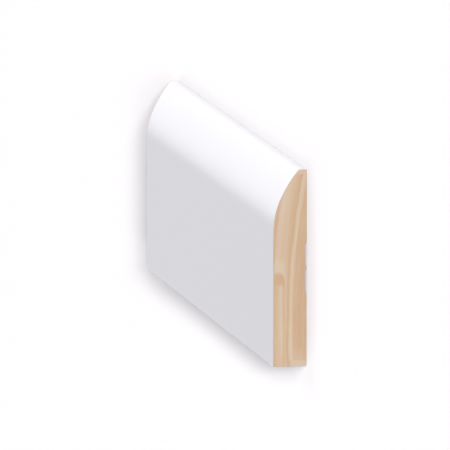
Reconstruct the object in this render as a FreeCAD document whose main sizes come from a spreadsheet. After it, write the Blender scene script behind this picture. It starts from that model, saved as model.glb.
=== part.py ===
import FreeCAD, Part
import os

import Sketcher

# A short length of pine skirting board with a moulded round along its top edge.
# It lies on its back: +X runs along the board, +Y points to the moulded top edge,
# and +Z points out of the face. The origin is in the middle of the back plane.

# Driving dimensions, in millimetres
SIZES = {
    "board_length": "250",
    "board_height": "70",
    "board_thickness": "12",
    # thickness left at the top edge, above the round
    "top_flat": "3",
    # how far the round comes down the face from the top edge
    "round_height": "22",
    # relief along the back, between the two lands that lie against the wall
    "relief_width": "18.6",
    "relief_depth": "0.7",
    # rib left standing along the middle of the relief
    "rib_width": "2.1",
    "rib_setback": "0.1",
    # easing of the long corners
    "arris_radius": "0.3",
}

# Names of the two ends of a sketch line or arc, and of the sketch's origin point
START = 1
END = 2
ORIGIN = (-1, 1)

TOUCH = 1e-4


def fill_sheet(doc):
    """Writes each driving dimension into its own named cell."""
    sheet = doc.addObject("Spreadsheet::Sheet", "Sizes")
    for row, (alias, value) in enumerate(SIZES.items(), start=1):
        sheet.set(f"A{row}", alias)
        sheet.set(f"B{row}", value)
        sheet.setAlias(f"B{row}", alias)
    doc.recompute()
    return sheet


def origin_plane(body, role):
    """The body's own origin plane of that role."""
    return next(item for item in body.Origin.OriginFeatures if item.Role == role)


def section_sketch(body, name):
    """An empty sketch across the board: its x is the board's Y, and its y the board's Z."""
    sketch = body.newObject("Sketcher::SketchObject", name)
    sketch.AttachmentSupport = (origin_plane(body, "YZ_Plane"), "")
    sketch.MapMode = "FlatFace"
    return sketch


def drive(sketch, name, expression, *constraint):
    """Adds a named dimension to a sketch and binds it to the sheet."""
    index = sketch.addConstraint(Sketcher.Constraint(*constraint))
    sketch.renameConstraint(index, name)
    sketch.setExpression(f"Constraints.{name}", expression)


def join(sketch, *pairs):
    """Holds pairs of end points together."""
    for first, first_end, second, second_end in pairs:
        sketch.addConstraint(Sketcher.Constraint("Coincident", first, first_end, second, second_end))


def line(sketch, start, end, construction=False):
    """Adds a straight line between two points, each given as (x, y)."""
    segment = Part.LineSegment(FreeCAD.Vector(*start), FreeCAD.Vector(*end))
    return sketch.addGeometry(segment, construction)


def arc(sketch, start, middle, end):
    """Adds an anticlockwise arc through three points, each given as (x, y)."""
    points = [FreeCAD.Vector(*point) for point in (start, middle, end)]
    return sketch.addGeometry(Part.Arc(*points), False)


def draw_board_outline(sketch, sizes):
    """The board's outline: plain back, bottom edge and face, and the round up to the top flat.

    The round is two tangent arcs with equal chords. The lower one leaves the face without a
    corner. The upper one, which is flatter, ends at the top flat, and its tangent there comes
    back to the face line halfway up the round.
    """
    bottom = -sizes.board_height / 2
    top = sizes.board_height / 2
    face = sizes.board_thickness
    rise = sizes.round_height
    depth = sizes.board_thickness - sizes.top_flat

    def on_round(share):
        """A first guess at the round: share 0 is where it leaves the face, and 1 its top."""
        return (top - rise * (1 - share), face - depth * share ** 2)

    halfway_up = (top - rise / 2, face)
    back = line(sketch, (bottom, 0), (top, 0))
    top_edge = line(sketch, (top, 0), on_round(1))
    upper_arc = arc(sketch, on_round(1), on_round(0.75), on_round(0.5))
    lower_arc = arc(sketch, on_round(0.5), on_round(0.25), on_round(0))
    face_line = line(sketch, on_round(0), (bottom, face))
    bottom_edge = line(sketch, (bottom, face), (bottom, 0))

    join(
        sketch,
        (back, END, top_edge, START),
        (top_edge, END, upper_arc, START),
        (face_line, END, bottom_edge, START),
        (bottom_edge, END, back, START),
    )
    sketch.addConstraint([
        Sketcher.Constraint("Horizontal", back),
        Sketcher.Constraint("Horizontal", face_line),
        Sketcher.Constraint("Vertical", top_edge),
        Sketcher.Constraint("Vertical", bottom_edge),
        Sketcher.Constraint("Tangent", upper_arc, END, lower_arc, START),
        Sketcher.Constraint("Tangent", lower_arc, END, face_line, START),
        Sketcher.Constraint("Symmetric", back, START, back, END, *ORIGIN),
    ])

    # The lines that shape the round: its two chords, and its two end tangents
    lower_chord = line(sketch, on_round(0), on_round(0.5), construction=True)
    upper_chord = line(sketch, on_round(0.5), on_round(1), construction=True)
    face_tangent = line(sketch, on_round(0), halfway_up, construction=True)
    top_tangent = line(sketch, halfway_up, on_round(1), construction=True)
    join(
        sketch,
        (lower_chord, START, face_line, START),
        (lower_chord, END, lower_arc, START),
        (upper_chord, START, lower_arc, START),
        (upper_chord, END, top_edge, END),
        (face_tangent, START, face_line, START),
        (face_tangent, END, top_tangent, START),
    )
    sketch.addConstraint([
        Sketcher.Constraint("Equal", lower_chord, upper_chord),
        Sketcher.Constraint("Horizontal", face_tangent),
        Sketcher.Constraint("Tangent", top_tangent, END, upper_arc, START),
    ])

    drive(sketch, "height", "Sizes.board_height", "DistanceX", back, START, back, END, 2 * top)
    drive(
        sketch, "thickness", "Sizes.board_thickness",
        "DistanceY", bottom_edge, END, bottom_edge, START, face,
    )
    drive(sketch, "flat", "Sizes.top_flat", "DistanceY", top_edge, START, top_edge, END, sizes.top_flat)
    drive(sketch, "rise", "Sizes.round_height", "DistanceX", face_line, START, top_edge, END, rise)
    drive(
        sketch, "half_rise", "Sizes.round_height / 2",
        "DistanceX", face_tangent, START, face_tangent, END, rise / 2,
    )


def draw_relief_outline(sketch, sizes):
    """The cut along the back: a shallow flat with 45 degree flanks, around a low rounded rib.

    The rib's crest stays back from the plane of the two lands, so it never holds the board
    off the wall.
    """
    depth = sizes.relief_depth
    mouth = sizes.relief_width / 2
    floor = mouth - depth
    rib = sizes.rib_width / 2
    setback = sizes.rib_setback

    opening = line(sketch, (-mouth, 0), (mouth, 0))
    upper_flank = line(sketch, (mouth, 0), (floor, depth))
    upper_floor = line(sketch, (floor, depth), (rib, depth))
    crest = arc(sketch, (-rib, depth), (0, setback), (rib, depth))
    lower_floor = line(sketch, (-rib, depth), (-floor, depth))
    lower_flank = line(sketch, (-floor, depth), (-mouth, 0))

    join(
        sketch,
        (opening, END, upper_flank, START),
        (upper_flank, END, upper_floor, START),
        (upper_floor, END, crest, END),
        (crest, START, lower_floor, START),
        (lower_floor, END, lower_flank, START),
        (lower_flank, END, opening, START),
    )
    # A point at the rib's crest, held on its arc and on the board's middle
    crest_point = sketch.addGeometry(Part.Point(FreeCAD.Vector(0, setback)), True)
    vertical_axis = -2
    sketch.addConstraint([
        Sketcher.Constraint("Horizontal", opening),
        Sketcher.Constraint("Horizontal", upper_floor),
        Sketcher.Constraint("Horizontal", lower_floor),
        Sketcher.Constraint("Symmetric", opening, START, opening, END, *ORIGIN),
        Sketcher.Constraint("Symmetric", crest, START, crest, END, vertical_axis),
        Sketcher.Constraint("Symmetric", upper_flank, END, lower_flank, START, vertical_axis),
        Sketcher.Constraint("PointOnObject", crest_point, START, crest),
        Sketcher.Constraint("PointOnObject", crest_point, START, vertical_axis),
    ])
    drive(sketch, "width", "Sizes.relief_width", "DistanceX", opening, START, opening, END, 2 * mouth)
    drive(sketch, "depth", "Sizes.relief_depth", "DistanceY", upper_flank, START, upper_flank, END, depth)
    drive(sketch, "flank", "Sizes.relief_depth", "DistanceX", upper_flank, END, upper_flank, START, depth)
    drive(sketch, "rib", "Sizes.rib_width", "DistanceX", crest, START, crest, END, 2 * rib)
    drive(sketch, "setback", "Sizes.rib_setback", "DistanceY", *ORIGIN, crest_point, START, setback)


def long_corners(shape, sizes):
    """Names of the four long edges at the section's corners, where the board is eased."""
    half_height = sizes.board_height / 2
    corners = [
        (-half_height, 0),
        (-half_height, sizes.board_thickness),
        (half_height, sizes.top_flat),
        (half_height, 0),
    ]
    names = []
    for number, edge in enumerate(shape.Edges, start=1):
        middle = edge.CenterOfMass
        for across, out in corners:
            off_corner = FreeCAD.Vector(0, middle.y - across, middle.z - out).Length
            if off_corner < TOUCH and abs(middle.x) < TOUCH:
                names.append(f"Edge{number}")
    return names


def build_board(doc, sizes):
    """The whole board: a moulded stick, relieved along its back and eased along its corners."""
    body = doc.addObject("PartDesign::Body", "Board")
    body.Label = "skirting_board"

    outline = section_sketch(body, "BoardOutline")
    draw_board_outline(outline, sizes)
    stick = body.newObject("PartDesign::Pad", "MouldedStick")
    stick.Profile = outline
    stick.SideType = "Symmetric"
    stick.setExpression("Length", "Sizes.board_length")
    doc.recompute()

    relief_outline = section_sketch(body, "ReliefOutline")
    draw_relief_outline(relief_outline, sizes)
    relief = body.newObject("PartDesign::Pocket", "BackRelief")
    relief.Profile = relief_outline
    relief.SideType = "Symmetric"
    relief.Type = "ThroughAll"
    doc.recompute()
    check_cut(stick, relief)

    easing = body.newObject("PartDesign::Fillet", "EasedCorners")
    easing.Base = (relief, long_corners(relief.Shape, sizes))
    easing.setExpression("Radius", "Sizes.arris_radius")
    doc.recompute()
    check_cut(relief, easing)
    return body


def check_cut(before, after):
    """Stops if a feature that should take wood away took none."""
    if after.Shape.Volume >= before.Shape.Volume:
        raise RuntimeError(f"{after.Name} removes nothing")


def check_document(doc, body):
    """Stops if any object failed, or if the board isn't one valid solid."""
    for item in doc.Objects:
        if "Invalid" in item.State or "Error" in item.State:
            raise RuntimeError(f"{item.Name} failed: {item.State}")
    if body.Shape.isNull() or not body.Shape.isValid():
        raise RuntimeError(f"{body.Label} has no valid shape")
    if len(body.Shape.Solids) != 1:
        raise RuntimeError(f"{body.Label} isn't one solid")


def main():
    doc = FreeCAD.newDocument("SkirtingBoard")
    sizes = fill_sheet(doc)
    board = build_board(doc, sizes)
    check_document(doc, board)
    os.makedirs("parts", exist_ok=True)
    board.Shape.exportStep(f"parts/{board.Label}.step")


main()
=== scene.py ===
import math

import bpy
from mathutils import Matrix, Vector


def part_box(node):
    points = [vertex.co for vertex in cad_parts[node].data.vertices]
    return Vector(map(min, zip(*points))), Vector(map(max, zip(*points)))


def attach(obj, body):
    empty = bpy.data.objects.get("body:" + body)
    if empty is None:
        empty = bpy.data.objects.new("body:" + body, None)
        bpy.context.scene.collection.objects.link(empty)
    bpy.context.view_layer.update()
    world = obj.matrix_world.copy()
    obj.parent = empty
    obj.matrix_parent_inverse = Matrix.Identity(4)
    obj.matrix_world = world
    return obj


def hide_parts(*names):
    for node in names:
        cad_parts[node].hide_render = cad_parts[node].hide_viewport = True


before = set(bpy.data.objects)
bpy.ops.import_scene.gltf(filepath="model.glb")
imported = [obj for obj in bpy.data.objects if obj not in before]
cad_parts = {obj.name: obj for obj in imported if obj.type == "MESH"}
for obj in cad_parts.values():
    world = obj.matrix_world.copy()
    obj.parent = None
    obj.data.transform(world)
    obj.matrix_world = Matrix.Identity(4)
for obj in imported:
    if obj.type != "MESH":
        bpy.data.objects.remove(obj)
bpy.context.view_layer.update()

# The board lies on its back: +X runs along it, +Y points to its moulded top edge and
# +Z out of its face. Lengths here are in millimetres until a mesh or a node needs metres.
MM = 0.001
NODE = "skirting_board"
LOW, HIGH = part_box(NODE)
LENGTH = (HIGH.x - LOW.x) / MM
HEIGHT = (HIGH.y - LOW.y) / MM
THICKNESS = (HIGH.z - LOW.z) / MM

# The section, as in the part's source
TOP_FLAT = 3.0
ROUND_HEIGHT = 22.0
RELIEF_WIDTH = 18.6
RELIEF_DEPTH = 0.7
RIB_WIDTH = 2.1
RIB_SETBACK = 0.1
ARRIS_RADIUS = 0.3

# How thick the paint shows on the sawn ends, and how much the saw cut's corners are worn
PAINT_FILM = 0.05
CUT_EASING = 0.03
# How far the easing of the top edge's front corner reaches in
TOP_EASING = 0.12

# How finely the mesh follows the section: the greatest step up the board, the steps round
# an eased corner and over half the rib, and the columns from the back to the front
ROW_STEP = 0.5
CORNER_STEPS = 5
RIB_STEPS = (0, 0.25, 0.5, 0.75, 0.9, 1)
COLUMNS = 24
# How many parts the length is divided into
STATIONS = 110
# Edges that turn by more degrees than this are shaded sharp
SHARP_ANGLE = 40
# Places closer than this are the same, to this many digits
TINY = 1e-6
DIGITS = 6

# What a face belongs to
COAT = 0
WOOD = 1


# The section's outline

def round_arcs():
    """The two tangent arcs of the round, as (y, z) centres and radii, and the y of their join.

    They have equal chords. The lower one leaves the face without a corner, and the upper
    one's tangent at the top comes back to the face line halfway up the round.
    """
    depth = THICKNESS - TOP_FLAT
    end_lean = math.atan2(depth, ROUND_HEIGHT / 2)
    chord_lean = math.atan2(depth, ROUND_HEIGHT)
    join_lean = 2 * chord_lean - end_lean / 2
    chord = math.hypot(depth, ROUND_HEIGHT) / 2 / math.cos(end_lean / 4)
    lower = chord / (2 * math.sin(join_lean / 2))
    upper = chord / (2 * math.sin((end_lean - join_lean) / 2))
    start_y = HEIGHT / 2 - ROUND_HEIGHT
    lower_centre = (start_y, THICKNESS - lower)
    join_y = start_y + lower * math.sin(join_lean)
    join_z = lower_centre[1] + lower * math.cos(join_lean)
    upper_centre = (join_y - upper * math.sin(join_lean), join_z - upper * math.cos(join_lean))
    return lower_centre, lower, upper_centre, upper, join_y


LOWER_CENTRE, LOWER_RADIUS, UPPER_CENTRE, UPPER_RADIUS, JOIN_Y = round_arcs()


def on_arc(y, centre, radius):
    """How far an arc's outer side lies above the back plane."""
    return centre[1] + math.sqrt(max(radius ** 2 - (y - centre[0]) ** 2, 0))


def eased(y, out, side):
    """How far an eased corner at the board's edge pulls the surface in, side 1 or -1."""
    inside = out - side * y
    if inside >= ARRIS_RADIUS:
        return 0.0
    return ARRIS_RADIUS - math.sqrt(ARRIS_RADIUS ** 2 - (ARRIS_RADIUS - inside) ** 2)


def corner_share(y):
    """0 below the top front corner's easing, rising to 1 at the top edge."""
    inside = (HEIGHT / 2 - y) / ARRIS_RADIUS
    return max(1 - inside, 0.0) ** 2


def front_z(y):
    """The face and the round."""
    if y <= LOWER_CENTRE[0]:
        return THICKNESS - eased(y, HEIGHT / 2, -1)
    if y <= JOIN_Y:
        return on_arc(y, LOWER_CENTRE, LOWER_RADIUS)
    return on_arc(y, UPPER_CENTRE, UPPER_RADIUS) - TOP_EASING * corner_share(y)


def back_z(y):
    """The two lands, the relief between them and the rib along its middle."""
    half = HEIGHT / 2
    away = abs(y)
    mouth = RELIEF_WIDTH / 2
    if away >= mouth:
        return eased(y, half, 1) + eased(y, half, -1)
    if away >= mouth - RELIEF_DEPTH:
        return mouth - away
    rib = RIB_WIDTH / 2
    if away >= rib:
        return RELIEF_DEPTH
    rise = RELIEF_DEPTH - RIB_SETBACK
    radius = (rib ** 2 + rise ** 2) / (2 * rise)
    return RIB_SETBACK + radius - math.sqrt(radius ** 2 - away ** 2)


def row_places():
    """The y of each row of the section's mesh, closer together where the outline bends."""
    half = HEIGHT / 2
    turns = [math.pi / 2 * step / CORNER_STEPS for step in range(CORNER_STEPS + 1)]
    corner = [ARRIS_RADIUS * (1 - math.cos(turn)) for turn in turns]
    mouth = RELIEF_WIDTH / 2
    rib = RIB_WIDTH / 2
    insets = corner + [PAINT_FILM]
    marks = [side * (half - inset) for side in (-1, 1) for inset in insets]
    marks += [side * (mouth - RELIEF_DEPTH * drop) for side in (-1, 1) for drop in (0, 1)]
    marks += [side * rib * share for side in (-1, 1) for share in RIB_STEPS]
    marks += [LOWER_CENTRE[0], JOIN_Y]
    marks = sorted(set(round(mark, DIGITS) for mark in marks))
    rows = [marks[0]]
    for start, end in zip(marks, marks[1:]):
        pieces = max(1, math.ceil((end - start) / ROW_STEP))
        rows += [start + (end - start) * piece / pieces for piece in range(1, pieces + 1)]
    return rows


# The board's mesh

def section_grid():
    """The whole section as rows of (y, z) points, each row from the back to the front.

    The last column but one follows the front at the paint film's thickness.
    """
    grid = []
    for y in row_places():
        back = back_z(y)
        front = front_z(y)
        film = front - PAINT_FILM
        row = [(y, back + (film - back) * step / COLUMNS) for step in range(COLUMNS + 1)]
        grid.append(row + [(y, front)])
    return grid


def outline_walk(grid):
    """Grid places round the section's outline: the bottom, the front, the top and the back."""
    rows = len(grid)
    columns = len(grid[0])
    walk = [(0, column) for column in range(columns - 1)]
    walk += [(row, columns - 1) for row in range(rows - 1)]
    walk += [(rows - 1, column) for column in range(columns - 1, 0, -1)]
    walk += [(row, 0) for row in range(rows - 1, 0, -1)]
    return walk


def worn_outline(grid, walk):
    """The outline's points at the saw cut, moved in by its easing."""
    points = [Vector(grid[row][column]) for row, column in walk]
    moved = {}
    for index, place in enumerate(walk):
        along = points[(index + 1) % len(points)] - points[index - 1]
        outward = Vector((-along.y, along.x)).normalized()
        moved[place] = points[index] - outward * CUT_EASING
    return moved


def off_middle(grid, row):
    """How far a row of the grid lies from the middle of the board's height."""
    return abs(grid[row][0][0])


def end_layer(grid, row, column):
    """Wood on a sawn end, with the edge of the paint film round it."""
    under_film = HEIGHT / 2 - PAINT_FILM - TINY
    at_edge = min(off_middle(grid, row), off_middle(grid, row + 1)) > under_film
    at_front = column == len(grid[0]) - 2
    return COAT if at_edge or at_front else WOOD


def side_layer(grid, place, after):
    """Paint all round, except on the flat of the back between its eased corners."""
    flat_reach = HEIGHT / 2 - ARRIS_RADIUS + TINY
    on_flat = max(off_middle(grid, place[0]), off_middle(grid, after[0])) < flat_reach
    on_back = place[1] == 0 and after[1] == 0
    return WOOD if on_back and on_flat else COAT


class BoardSkin:
    """The board's whole surface, two sawn ends joined along the board, as points and faces."""

    def __init__(self):
        """Adds the two ends and the outlines between them, and joins them all in turn."""
        self.verts = []
        self.faces = []
        self.layers = []
        self.grid = section_grid()
        self.walk = outline_walk(self.grid)
        half = LENGTH / 2
        inner = half - CUT_EASING
        places = [inner * (2 * station / STATIONS - 1) for station in range(STATIONS + 1)]
        hoops = [self.cap(-half, turned=True)]
        hoops += [self.hoop(x) for x in places]
        hoops.append(self.cap(half, turned=False))
        for near, far in zip(hoops, hoops[1:]):
            self.band(near, far)

    def cap(self, x, turned):
        """Adds one sawn end, turned to face -X or not, and gives the points of its outline."""
        worn = worn_outline(self.grid, self.walk)
        rows = len(self.grid)
        columns = len(self.grid[0])
        first = len(self.verts)
        for row in range(rows):
            for column in range(columns):
                y, z = worn.get((row, column), self.grid[row][column])
                self.verts.append((x, y, z))
        for row in range(rows - 1):
            for column in range(columns - 1):
                low = first + row * columns + column
                high = low + columns
                corners = [low, low + 1, high + 1, high]
                self.faces.append(corners if turned else corners[::-1])
                self.layers.append(end_layer(self.grid, row, column))
        return [first + row * columns + column for row, column in self.walk]

    def hoop(self, x):
        """Adds the section's outline at one place along the board, and gives its points."""
        first = len(self.verts)
        for row, column in self.walk:
            y, z = self.grid[row][column]
            self.verts.append((x, y, z))
        return list(range(first, len(self.verts)))

    def band(self, near, far):
        """Joins two outlines by a band of faces."""
        for index, place in enumerate(self.walk):
            after = (index + 1) % len(self.walk)
            self.faces.append([near[index], far[index], far[after], near[after]])
            self.layers.append(side_layer(self.grid, place, self.walk[after]))

    def mesh(self, name, layer):
        """The faces of one layer as a mesh of their own."""
        faces = [face for face, own in zip(self.faces, self.layers) if own == layer]
        used = sorted({vertex for face in faces for vertex in face})
        number = {vertex: index for index, vertex in enumerate(used)}
        verts = [Vector(self.verts[vertex]) * MM for vertex in used]
        mesh = bpy.data.meshes.new(name)
        mesh.from_pydata(verts, [], [[number[vertex] for vertex in face] for face in faces])
        mesh.update()
        mesh.shade_smooth()
        mesh.set_sharp_from_angle(angle=math.radians(SHARP_ANGLE))
        return mesh


# Materials

# A Mix node's sockets for plain numbers: the share, and the two that it blends
NUMBER_SOCKETS = (0, 2, 3)
# Noise lies round its middle, and mostly within this much of it
NOISE_MIDDLE = 0.5
NOISE_REACH = 0.25


class Nodes:
    """Short calls that add nodes to one tree and link them."""

    def __init__(self, tree):
        """Starts with an empty tree."""
        self.tree = tree
        tree.nodes.clear()

    def add(self, kind, inputs=None, **settings):
        """A new node, with its settings made and its named inputs fed."""
        node = self.tree.nodes.new(kind)
        for name, value in settings.items():
            setattr(node, name, value)
        for name, value in (inputs or {}).items():
            self.feed(node.inputs[name], value)
        return node

    def feed(self, socket, value):
        """Links an output to a socket, or sets the socket's own value."""
        if isinstance(value, bpy.types.NodeSocket):
            self.tree.links.new(value, socket)
        else:
            socket.default_value = value

    def math(self, operation, *values, clamp=False):
        """One operation on numbers."""
        node = self.add("ShaderNodeMath", operation=operation, use_clamp=clamp)
        for socket, value in zip(node.inputs, values):
            self.feed(socket, value)
        return node.outputs[0]

    def times(self, *values):
        """Values multiplied together."""
        product = values[0]
        for value in values[1:]:
            product = self.math("MULTIPLY", product, value)
        return product

    def total(self, *values):
        """Values added up."""
        result = values[0]
        for value in values[1:]:
            result = self.math("ADD", result, value)
        return result

    def minus(self, first, second):
        """The first value less the second."""
        return self.math("SUBTRACT", first, second)

    def blend(self, share, first, second):
        """The first number at share 0, and the second at share 1."""
        node = self.add("ShaderNodeMix", data_type="FLOAT")
        for socket, value in zip(NUMBER_SOCKETS, (share, first, second)):
            self.feed(node.inputs[socket], value)
        return node.outputs[0]

    def mix(self, share, first, second):
        """The first colour at share 0, and the second at share 1."""
        node = self.add("ShaderNodeMix", data_type="RGBA")
        self.feed(node.inputs["Factor"], share)
        self.feed(node.inputs["A"], first)
        self.feed(node.inputs["B"], second)
        return node.outputs["Result"]

    def vector(self, x, y, z):
        """A vector made of three values."""
        node = self.add("ShaderNodeCombineXYZ")
        for socket, value in zip(node.inputs, (x, y, z)):
            self.feed(socket, value)
        return node.outputs[0]

    def split(self, vector):
        """The three parts of a vector."""
        node = self.add("ShaderNodeSeparateXYZ")
        self.feed(node.inputs[0], vector)
        return node.outputs

    def span(self, value, start, end, shape):
        """0 at start and 1 at end, of the given shape between them."""
        node = self.add("ShaderNodeMapRange", interpolation_type=shape)
        for name, item in (("Value", value), ("From Min", start), ("From Max", end)):
            self.feed(node.inputs[name], item)
        return node.outputs["Result"]

    def ease(self, value, start, end):
        """0 at start and 1 at end, smooth between."""
        return self.span(value, start, end, "SMOOTHSTEP")

    def slope(self, value, start, end):
        """0 at start and 1 at end, straight between."""
        return self.span(value, start, end, "LINEAR")

    def bell(self, value, middle, width):
        """1 at the middle, falling smoothly to about a third a width away, and on to 0."""
        away = self.math("DIVIDE", self.minus(value, middle), width)
        return self.math("EXPONENT", self.times(away, away, -1.0))

    def noise(self, place, scales, detail=2.0, rough=0.5):
        """Noise round its middle. place and scales have one value for each axis."""
        scaled = [self.times(value, scale) for value, scale in zip(place, scales)]
        node = self.add("ShaderNodeTexNoise", {
            "Vector": self.vector(*scaled), "Scale": 1.0, "Detail": detail, "Roughness": rough,
        })
        return node.outputs["Fac"]

    def spread(self, noise, reach):
        """Noise made to lie round 0, and mostly within the reach of it."""
        gain = reach / NOISE_REACH
        return self.math("MULTIPLY_ADD", noise, gain, -NOISE_MIDDLE * gain)

    def ramp(self, value, stops):
        """A colour ramp with stops of (place, colour)."""
        node = self.add("ShaderNodeValToRGB", {"Fac": value})
        elements = node.color_ramp.elements
        while len(elements) > 1:
            elements.remove(elements[-1])
        for index, (place, colour) in enumerate(stops):
            element = elements[0] if index == 0 else elements.new(place)
            element.position = place
            element.color = (*colour, 1)
        return node.outputs["Color"]


def new_material(name):
    """A material, with the calls that fill it."""
    material = bpy.data.materials.new(name)
    material.use_nodes = True
    return material, Nodes(material.node_tree)


def add_surface(nodes, colour, roughness, specular, relief):
    """Ends a material's tree: its colour, its gloss, and its relief in millimetres."""
    bump = nodes.add("ShaderNodeBump", {"Height": relief, "Distance": MM})
    shader = nodes.add("ShaderNodeBsdfPrincipled", {
        "Base Color": colour,
        "Roughness": roughness,
        "Specular IOR Level": specular,
        "Normal": bump.outputs[0],
    })
    nodes.add("ShaderNodeOutputMaterial", {"Surface": shader.outputs[0]})


# The display curve: a short straight foot, and a power above it
DISPLAY_WHITE = 255
CURVE_FOOT = 0.04045
FOOT_SLOPE = 12.92
CURVE_OFFSET = 0.055
CURVE_POWER = 2.4


def linear(red, green, blue):
    """The linear colour of display values from 0 to 255."""
    def channel(value):
        share = value / DISPLAY_WHITE
        if share <= CURVE_FOOT:
            return share / FOOT_SLOPE
        return ((share + CURVE_OFFSET) / (1 + CURVE_OFFSET)) ** CURVE_POWER
    return tuple(channel(value) for value in (red, green, blue))


def board_place(nodes):
    """The place on the board in millimetres: along it, above its bottom edge, behind its face."""
    x, y, z = nodes.split(nodes.add("ShaderNodeTexCoord").outputs["Object"])
    along = nodes.math("DIVIDE", x, MM)
    height = nodes.math("MULTIPLY_ADD", y, 1 / MM, HEIGHT / 2)
    depth = nodes.math("MULTIPLY_ADD", z, -1 / MM, THICKNESS)
    return along, height, depth


# The pine's figure. A tone of 0 is plain wood; tones above 0 are paler, and below 0 darker.
# A fade is a pair of places, such as heights or depths, where a thing is absent and where it
# is full. A rim is the same pair, as distances outside the line of the swirl.

# The growth rings lie nearly level with the face and bow back towards the board's edges.
# They are told by their level: the depth of a ring where the bow is highest.
BOW_RADIUS = 260.0
BOW_MIDDLE = 16.0
# The log's taper tips the rings a little along the board, and they wander by this much
TAPER = 0.012
WANDER = 0.25
WANDER_SCALES = (0.02, 0.09, 0.15)

# Single rings as level, width and tone, from the face to the back
RINGS = (
    (-4.5, 0.7, -0.45),
    (-2.7, 0.8, 0.4),
    (-1.1, 0.6, -0.42),
    (0.3, 0.9, 0.33),
    (6.2, 0.68, 0.42),
)
# The pale wood under the round is broader
BROAD_PALE = (1.1, 1.9, 0.22)
BROAD_FADE = (46.0, 60.0)
# The inner pale ring is clearest low down
CLEAR_FADE = (34.0, 8.0)
CLEAR_TONE = 0.16

# One latewood band darkens slowly and ends sharply. It narrows beside the swirl, and ends
# deeper at the foot.
LATE_START = 2.8
LATE_FULL = 5.2
LATE_EDGE = (5.8, 5.4)
LATE_TONE = -0.42
LATE_NARROWED = (4.4, 5.05)
LATE_FADE = (30.0, 54.0)
LATE_AT_FOOT = 0.55

# The slow-grown wood at the back, palest near the foot, and its narrow rings: faint on the
# sawn ends and clear on the planed back
SLOW_FADE = (6.5, 7.5)
SLOW_TONE = -0.32
SLOW_PITCH = 0.93
SLOW_SHARPNESS = 3.0
SLOW_LINE_ON_END = -0.1
SLOW_LINE_ON_BACK = -0.6
SLOW_FOOT_FADE = (9.0, 2.5)
SLOW_FOOT_TONE = 0.26
SLOW_HIGH_FADE = (42.0, 54.0)
SLOW_HIGH_TONE = 0.14

# At the foot of the end the rings turn away and run out into the back corner
FOOT_FADE = (2.9, 1.9)
FOOT_LEVELS = (6.2, 6.6)
FOOT_TURN = 0.05
FOOT_LEVEL = 6.4

# How far behind the near end the swirl and the pale tip are absent, and where they are whole
NEAR_FADE = (60.0, 15.0)
# A swirl in the near end, under the face: one latewood line comes down from it like the
# handle of a cane, and runs on straight to the bottom edge
CANE_TURN = 29.3
CANE_RISE = 4.4
CANE_REACH = 3.4
CANE_SQUARENESS = 3.0
CANE_START = 0.6
SWIRL_HEIGHTS = (34.0, 32.0)
SWIRL_DEPTHS = (5.0, 4.4)
HOOK_RIM = (0.1, -0.2)
HOOK_HEIGHTS = (27.6, 30.4)
HOOK_DEPTHS = (0.2, 1.2)
HOOK_TONE = -0.48
CANE_LINE = (-0.15, 0.3, -0.36)
CANE_LINE_FADE = (38.0, 26.0)
CANE_HALO = (0.6, 0.35, 0.02)
PITH_BAND = (2.8, 0.6, 0.5)
PITH_TOP = (29.7, 28.0)
PITH_FOOT = (-4.0, 14.0)
PITH_STREAKS = 0.35
UNDER_FACE = (0.6, 0.7, -0.24)

# Pale wood that the hook bulges up against
BULGE_RIM = (-0.1, 0.3)
BULGE_START = (31.0, 33.5)
BULGE_END = (39.0, 35.5)
BULGE_FRONT = (0.5, 1.1)
BULGE_BACK = (4.8, 3.0)
BULGE_TONE = 0.5

# The pale tip of the section, just under the top edge
TIP_FADE = (68.0, 68.9)
TIP_TONE = 0.4

# Fibres, as scales of noise along the board, up it and through it
END_FIBRE = (0.05, 0.13, 2.6)
BACK_FIBRE = (0.03, 3.0, 1.0)
FIBRE_DETAIL = 4.0
FIBRE_ROUGH = 0.6
FIBRE_TONE = 0.75
# Streaks broader than fibres
STREAK_SCALES = (0.03, 0.06, 0.9)
STREAK_TONE = 0.13
# Broad drifts between yellower and pinker wood
HUE_SCALES = (0.02, 0.11, 0.4)
HUE_REACH = 0.55

# Colours of the wood as display values from dark to pale, yellower and pinker, with their
# places on the ramp, and how evenly the two are mixed
HUE_MIDDLE = 0.5
PLAIN_PLACE = 0.45
YELLOW_PINE = ((0.0, (208, 176, 139)), (PLAIN_PLACE, (215, 188, 155)), (1.0, (219, 199, 172)))
PINK_PINE = ((0.0, (210, 174, 146)), (PLAIN_PLACE, (216, 186, 162)), (1.0, (220, 197, 178)))
PINE_ROUGHNESS = 0.62
PINE_SPECULAR = 0.25

# How deep the fibres, the planer's ripples and the saw's marks go, and how far apart the
# last two are. The saw's marks are arcs round a centre, given as its height and depth.
FIBRE_DEPTH = 0.0075
RIPPLE_DEPTH = 0.003
RIPPLE_PITCH = 1.7
SAW_DEPTH = 0.003
SAW_PITCH = 1.3
SAW_CENTRE = (-60.0, 150.0)

# The planed back is what faces down: a fade in how far up a surface faces
PLANED_FADE = (-0.4, -0.8)

# Paint that drifted round onto the back, in an uneven strip along each edge: its usual width,
# the softness of its edge, and how well it covers
DRIFT_REACH = 1.6
DRIFT_SCALES = (0.11, 0.05, 0.0)
DRIFT_EDGE = 0.9
DRIFT_COVER = 0.85
DRIFT_COLOUR = (0.84, 0.835, 0.87, 1)


def faded_bell(nodes, value, bell, *fades):
    """A band given as its middle, width and tone, and weakened by its fades."""
    middle, width, tone = bell
    return nodes.times(nodes.bell(value, middle, width), *fades, tone)


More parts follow.
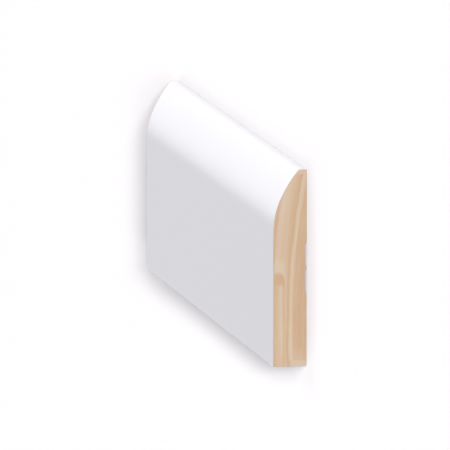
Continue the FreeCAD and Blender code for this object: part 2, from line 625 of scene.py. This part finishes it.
def ring_level(nodes, place):
    """How deep a point lies among the growth rings."""
    along, height, depth = place
    off_bow = nodes.minus(height, BOW_MIDDLE)
    bow = nodes.times(off_bow, off_bow, 1 / (2 * BOW_RADIUS))
    taper = nodes.times(nodes.minus(along, LENGTH / 2), TAPER)
    wander = nodes.spread(nodes.noise(place, WANDER_SCALES), WANDER)
    level = nodes.total(nodes.minus(depth, bow), taper, wander)
    foot = nodes.times(nodes.ease(height, *FOOT_FADE), nodes.ease(level, *FOOT_LEVELS))
    turned = nodes.math("MULTIPLY_ADD", nodes.minus(level, FOOT_LEVEL), FOOT_TURN, FOOT_LEVEL)
    return nodes.blend(foot, level, turned)


def latewood(nodes, level, height):
    """The one broad latewood band."""
    open_share = nodes.ease(height, *LATE_FADE)
    start = nodes.blend(open_share, LATE_NARROWED[0], LATE_START)
    full = nodes.blend(open_share, LATE_NARROWED[1], LATE_FULL)
    to_edge = nodes.minus(level, nodes.times(nodes.ease(height, *FOOT_FADE), LATE_AT_FOOT))
    return nodes.times(nodes.slope(level, start, full), nodes.ease(to_edge, *LATE_EDGE), LATE_TONE)


def slow_wood(nodes, level, height, planed):
    """The slow-grown wood and its narrow rings."""
    share = nodes.ease(level, *SLOW_FADE)
    sawtooth = nodes.math("FRACT", nodes.times(level, 1 / SLOW_PITCH))
    ring = nodes.math("POWER", sawtooth, SLOW_SHARPNESS)
    lines = nodes.times(ring, nodes.blend(planed, SLOW_LINE_ON_END, SLOW_LINE_ON_BACK))
    foot = nodes.times(nodes.ease(height, *SLOW_FOOT_FADE), SLOW_FOOT_TONE)
    high = nodes.times(nodes.ease(height, *SLOW_HIGH_FADE), SLOW_HIGH_TONE)
    return nodes.times(share, nodes.total(lines, foot, high, SLOW_TONE))


def plain_rings(nodes, level, height, planed):
    """The figure away from the swirl."""
    rings = [faded_bell(nodes, level, ring) for ring in RINGS]
    broad = faded_bell(nodes, level, BROAD_PALE, nodes.ease(height, *BROAD_FADE))
    clear = faded_bell(nodes, level, (*RINGS[-1][:2], CLEAR_TONE), nodes.ease(height, *CLEAR_FADE))
    slow = slow_wood(nodes, level, height, planed)
    return nodes.total(*rings, broad, clear, latewood(nodes, level, height), slow)


def cane_distance(nodes, height, depth):
    """How far a point lies outside the line of the swirl, less than 0 inside its hook."""
    above = nodes.math("MAXIMUM", nodes.minus(height, CANE_TURN), 0.0)
    above = nodes.times(above, CANE_REACH / CANE_RISE)
    out = nodes.math("MAXIMUM", nodes.minus(depth, CANE_START), 0.0)
    powers = [nodes.math("POWER", value, CANE_SQUARENESS) for value in (above, out)]
    reach = nodes.math("POWER", nodes.total(*powers), 1 / CANE_SQUARENESS)
    return nodes.minus(reach, CANE_REACH)


def swirl(nodes, cane, height, depth, fibre):
    """The figure of the swirl, and how much of it there is in place of the plain rings."""
    hook_fades = ((cane, HOOK_RIM), (height, HOOK_HEIGHTS), (depth, HOOK_DEPTHS))
    hook = nodes.times(*(nodes.ease(value, *fade) for value, fade in hook_fades), HOOK_TONE)
    line = faded_bell(nodes, cane, CANE_LINE, nodes.ease(height, *CANE_LINE_FADE))
    halo = faded_bell(nodes, cane, CANE_HALO)
    streaks = nodes.math("MULTIPLY_ADD", fibre, PITH_STREAKS, 1 - PITH_STREAKS / 2)
    pith_share = nodes.times(nodes.ease(height, *PITH_TOP), nodes.ease(height, *PITH_FOOT), streaks)
    pith = faded_bell(nodes, depth, PITH_BAND, pith_share)
    tone = nodes.total(hook, line, halo, pith, faded_bell(nodes, depth, UNDER_FACE))
    return tone, nodes.times(nodes.ease(height, *SWIRL_HEIGHTS), nodes.ease(depth, *SWIRL_DEPTHS))


def bulge(nodes, cane, height, depth):
    """The pale wood that the hook bulges up against."""
    fades = (
        (cane, BULGE_RIM),
        (height, BULGE_START),
        (height, BULGE_END),
        (depth, BULGE_FRONT),
        (depth, BULGE_BACK),
    )
    return nodes.times(*(nodes.ease(value, *fade) for value, fade in fades), BULGE_TONE)


def pine_tone(nodes, place, level, planed, fibre):
    """The whole figure, fibres included."""
    along, height, depth = place
    near = nodes.ease(along, *(LENGTH / 2 - behind for behind in NEAR_FADE))
    cane = cane_distance(nodes, height, depth)
    swirl_tone, swirl_share = swirl(nodes, cane, height, depth, fibre)
    plain = plain_rings(nodes, level, height, planed)
    tone = nodes.blend(nodes.times(swirl_share, near), plain, swirl_tone)
    tone = nodes.total(tone, nodes.times(bulge(nodes, cane, height, depth), near))
    tone = nodes.blend(nodes.times(nodes.ease(height, *TIP_FADE), near), tone, TIP_TONE)
    streaks = nodes.spread(nodes.noise((along, height, level), STREAK_SCALES), STREAK_TONE)
    return nodes.total(tone, streaks, nodes.times(nodes.minus(fibre, NOISE_MIDDLE), FIBRE_TONE))


def tool_marks(nodes, place, planed):
    """Ripples across the planed back, and arcs that the saw left on the ends, in millimetres."""
    along, height, depth = place
    ripple = nodes.math("SINE", nodes.times(along, math.tau / RIPPLE_PITCH))
    off_height = nodes.minus(height, SAW_CENTRE[0])
    off_depth = nodes.minus(depth, SAW_CENTRE[1])
    squares = nodes.total(nodes.times(off_height, off_height), nodes.times(off_depth, off_depth))
    arcs = nodes.math("SINE", nodes.times(nodes.math("SQRT", squares), math.tau / SAW_PITCH))
    return nodes.blend(planed, nodes.times(arcs, SAW_DEPTH), nodes.times(ripple, RIPPLE_DEPTH))


def paint_drift(nodes, place, planed):
    """How much paint covers the wood of the back near its edges."""
    height = place[1]
    inset = nodes.math("MINIMUM", height, nodes.minus(HEIGHT, height))
    reach = nodes.times(nodes.noise(place, DRIFT_SCALES, detail=FIBRE_DETAIL), 2 * DRIFT_REACH)
    cover = nodes.ease(nodes.minus(inset, reach), DRIFT_EDGE / 2, -DRIFT_EDGE / 2)
    return nodes.times(cover, planed, DRIFT_COVER)


def pine_material(name):
    """Bare pine: growth rings, the swirl that shows on the near end, fibres and tool marks."""
    material, nodes = new_material(name)
    place = board_place(nodes)
    along, height = place[:2]
    facing = nodes.split(nodes.add("ShaderNodeTexCoord").outputs["Normal"])
    planed = nodes.ease(facing[2], *PLANED_FADE)

    level = ring_level(nodes, place)
    end_fibre = nodes.noise((along, height, level), END_FIBRE, FIBRE_DETAIL, FIBRE_ROUGH)
    back_fibre = nodes.noise(place, BACK_FIBRE, FIBRE_DETAIL, FIBRE_ROUGH)
    fibre = nodes.blend(planed, end_fibre, back_fibre)
    tone = nodes.total(pine_tone(nodes, place, level, planed, fibre), PLAIN_PLACE)
    drift = nodes.spread(nodes.noise((along, height, level), HUE_SCALES), HUE_REACH)
    hue = nodes.total(drift, HUE_MIDDLE)
    yellow, pink = [
        nodes.ramp(tone, [(stop, linear(*colour)) for stop, colour in stops])
        for stops in (YELLOW_PINE, PINK_PINE)
    ]
    colour = nodes.mix(hue, yellow, pink)
    colour = nodes.mix(paint_drift(nodes, place, planed), colour, DRIFT_COLOUR)

    relief = nodes.total(nodes.times(fibre, FIBRE_DEPTH), tool_marks(nodes, place, planed))
    add_surface(nodes, colour, PINE_ROUGHNESS, PINE_SPECULAR, relief)
    return material


# The paint: its darker and paler tones, and painted shade: a greyer colour towards the back,
# where the board lies on the floor, with the depths where the shade starts and where it is darkest
PAINT_TONES = ((0.855, 0.849, 0.902, 1), (0.871, 0.865, 0.918, 1))
BACK_SHADE_COLOUR = (0.769, 0.763, 0.778, 1)
BACK_SHADE_FADE = (8.6, 11.2)
PAINT_ROUGHNESS = 0.3
PAINT_SPECULAR = 0.4
SPRAY_SCALES = (0.6, 1.2, 1.2)
SPRAY_DETAIL = 3.0
SPRAY_DEPTH = 0.002


def paint_material(name):
    """Satin white paint, with a faint spray texture, and painted shade that greys it towards the
    back.
    """
    material, nodes = new_material(name)
    place = board_place(nodes)
    spray = nodes.noise(place, SPRAY_SCALES, SPRAY_DETAIL)
    # Painted shade: the coat greys towards the back, on the top and bottom edges beside the floor
    back_shade = nodes.ease(place[2], *BACK_SHADE_FADE)
    tone = nodes.mix(back_shade, nodes.mix(spray, *PAINT_TONES), BACK_SHADE_COLOUR)
    relief = nodes.times(spray, SPRAY_DEPTH)
    add_surface(nodes, tone, PAINT_ROUGHNESS, PAINT_SPECULAR, relief)
    return material


def make_board():
    """The wood and the coat of paint on it, two pieces that meet edge to edge."""
    skin = BoardSkin()
    pieces = []
    makings = (("bare_wood", WOOD, pine_material), ("paint_coat", COAT, paint_material))
    for name, layer, material in makings:
        piece = bpy.data.objects.new(name, skin.mesh(name, layer))
        bpy.context.scene.collection.objects.link(piece)
        piece.data.materials.append(material(f"{name}_finish"))
        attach(piece, "root")
        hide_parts(NODE)
        pieces.append(piece)
    return pieces


def seen_directly(nodes):
    """1 for what the camera sees, directly, in a reflection or through glass, and 0 otherwise."""
    path = nodes.add("ShaderNodeLightPath").outputs
    seen = nodes.math("ADD", path["Is Camera Ray"], path["Is Glossy Ray"])
    return nodes.math("ADD", seen, path["Is Transmission Ray"], clamp=True)


# The floor, in metres, just clear of the board's back, with its colour as it is seen and the
# share of the light that it throws back on the board
FLOOR_SIZE = 60.0
FLOOR_GAP = 0.00005
FLOOR_COLOUR = (0.514, 0.5, 0.514)
FLOOR_BOUNCE = 0.3


def make_floor():
    """A pale floor, which throws less light back on the board than its colour would."""
    half = FLOOR_SIZE / 2
    mesh = bpy.data.meshes.new("floor")
    corners = [(-half, -half, 0), (half, -half, 0), (half, half, 0), (-half, half, 0)]
    mesh.from_pydata(corners, [], [(0, 1, 2, 3)])
    floor = bpy.data.objects.new("floor", mesh)
    floor.location.z = LOW.z - FLOOR_GAP
    bpy.context.scene.collection.objects.link(floor)
    material, nodes = new_material("pale_floor")
    seen = seen_directly(nodes)
    channels = [
        nodes.math("MAXIMUM", nodes.times(seen, level), FLOOR_BOUNCE)
        for level in FLOOR_COLOUR
    ]
    diffuse = nodes.add("ShaderNodeBsdfDiffuse", {"Color": nodes.vector(*channels)})
    nodes.add("ShaderNodeOutputMaterial", {"Surface": diffuse.outputs[0]})
    mesh.materials.append(material)
    return floor


# How bright the even light from all round is, where white is 1
WORLD_LEVEL = 0.35


def make_world():
    """Even light from all round, which the camera sees as white."""
    world = bpy.data.worlds.new("studio")
    world.use_nodes = True
    bpy.context.scene.world = world
    nodes = Nodes(world.node_tree)
    strength = nodes.math("MAXIMUM", seen_directly(nodes), WORLD_LEVEL)
    background = nodes.add("ShaderNodeBackground", {"Strength": strength})
    nodes.add("ShaderNodeOutputWorld", {"Surface": background.outputs[0]})


# The wood, the coat and the floor each have lamps of their own. A lamp is given as its
# azimuth from the board's near end, its height above the floor and its width, all in
# degrees, and how bright it makes a white surface that faces it.
WOOD_LAMPS = {
    "near_end": (0.0, 10.0, 70.0, 0.855),
    "far_end": (180.0, 10.0, 70.0, 0.855),
}
COAT_LAMPS = {
    "over": (0.0, 90.0, 60.0, 0.258),
    "side": (90.0, 12.0, 20.0, 0.694),
    "low": (-90.0, 4.2, 1.5, 0.6),
    "sheen": (173.0, 13.0, 20.0, 0.0208),
    "sheen_low": (183.1, 12.9, 3.0, 0.0011),
    "sheen_middle": (179.3, 13.2, 5.0, 0.0007),
}
FLOOR_LAMPS = {
    "front": (0.0, 7.0, 4.0, 1.01),
    "front_low": (10.0, 7.0, 3.0, 2.032),
    "front_middle": (8.0, 8.5, 3.0, 1.671),
    "front_high": (12.0, 10.0, 3.0, 0.772),
    "front_side": (16.0, 10.5, 4.0, 0.622),
    "corner": (20.0, 20.0, 12.0, 0.6),
    "above_high": (90.0, 50.0, 30.0, 0.136),
    "above": (150.0, 35.0, 30.0, 0.247),
    "back": (-150.0, 25.0, 25.0, 0.247),
    "below": (-120.0, 30.0, 30.0, 0.301),
    "below_high": (-90.0, 62.0, 30.0, 0.156),
}


def make_lamp(name, azimuth, lift, width, level, receivers):
    """A distant soft lamp that lights only what is in one collection."""
    data = bpy.data.lights.new(name, "SUN")
    data.energy = level * math.pi
    data.angle = math.radians(width)
    lamp = bpy.data.objects.new(name, data)
    lamp.rotation_euler = (0, math.pi / 2 - math.radians(lift), math.radians(azimuth))
    bpy.context.scene.collection.objects.link(lamp)
    lamp.light_linking.receiver_collection = receivers


def receivers_of(name, member):
    """A collection that holds one object, for lamps meant for it alone."""
    receivers = bpy.data.collections.new(name)
    receivers.objects.link(member)
    return receivers


def make_lights(wood, coat, floor):
    """All the lamps, each linked to the one thing that it lights."""
    for item, lamps in ((wood, WOOD_LAMPS), (coat, COAT_LAMPS), (floor, FLOOR_LAMPS)):
        receivers = receivers_of(f"{item.name}_alone", item)
        for name, settings in lamps.items():
            make_lamp(f"{item.name}_{name}", *settings, receivers)


# The camera looks at the near end from far off. Its place is turned by these angles from the
# board's length, towards the face and towards the moulded edge. Its upright is the board's
# height, so the board stands in the picture.
CAMERA_TO_FACE = math.radians(10.61)
CAMERA_TO_EDGE = math.radians(7.91)
CAMERA_ROLL = math.radians(0.10)
CAMERA_DISTANCE = 4528.2
CAMERA_AIM = Vector((LENGTH / 2, 15.93, 29.29))
# The lens and the sensor's width in millimetres, and how far the camera sees in metres
CAMERA_LENS = 1030.1
SENSOR = 36.0
CAMERA_REACH = 100.0


def make_camera():
    """The camera, aimed beside the near end, so that the whole board is in the picture."""
    forward = Vector((
        -math.cos(CAMERA_TO_FACE) * math.cos(CAMERA_TO_EDGE),
        -math.sin(CAMERA_TO_EDGE),
        -math.sin(CAMERA_TO_FACE) * math.cos(CAMERA_TO_EDGE),
    ))
    right = Vector((math.sin(CAMERA_TO_FACE), 0, -math.cos(CAMERA_TO_FACE)))
    up = right.cross(forward)
    turned_right = right * math.cos(CAMERA_ROLL) + up * math.sin(CAMERA_ROLL)
    turned_up = up * math.cos(CAMERA_ROLL) - right * math.sin(CAMERA_ROLL)
    data = bpy.data.cameras.new("camera")
    data.lens = CAMERA_LENS
    data.sensor_width = SENSOR
    data.clip_end = CAMERA_REACH
    camera = bpy.data.objects.new("camera", data)
    place = (CAMERA_AIM - forward * CAMERA_DISTANCE) * MM
    turn = Matrix((turned_right, turned_up, -forward)).transposed()
    camera.matrix_world = Matrix.Translation(place) @ turn.to_4x4()
    bpy.context.scene.collection.objects.link(camera)
    bpy.context.scene.camera = camera


bpy.context.scene.view_settings.view_transform = "Standard"
bare_wood, paint_coat = make_board()
floor = make_floor()
make_world()
make_lights(bare_wood, paint_coat, floor)
make_camera()
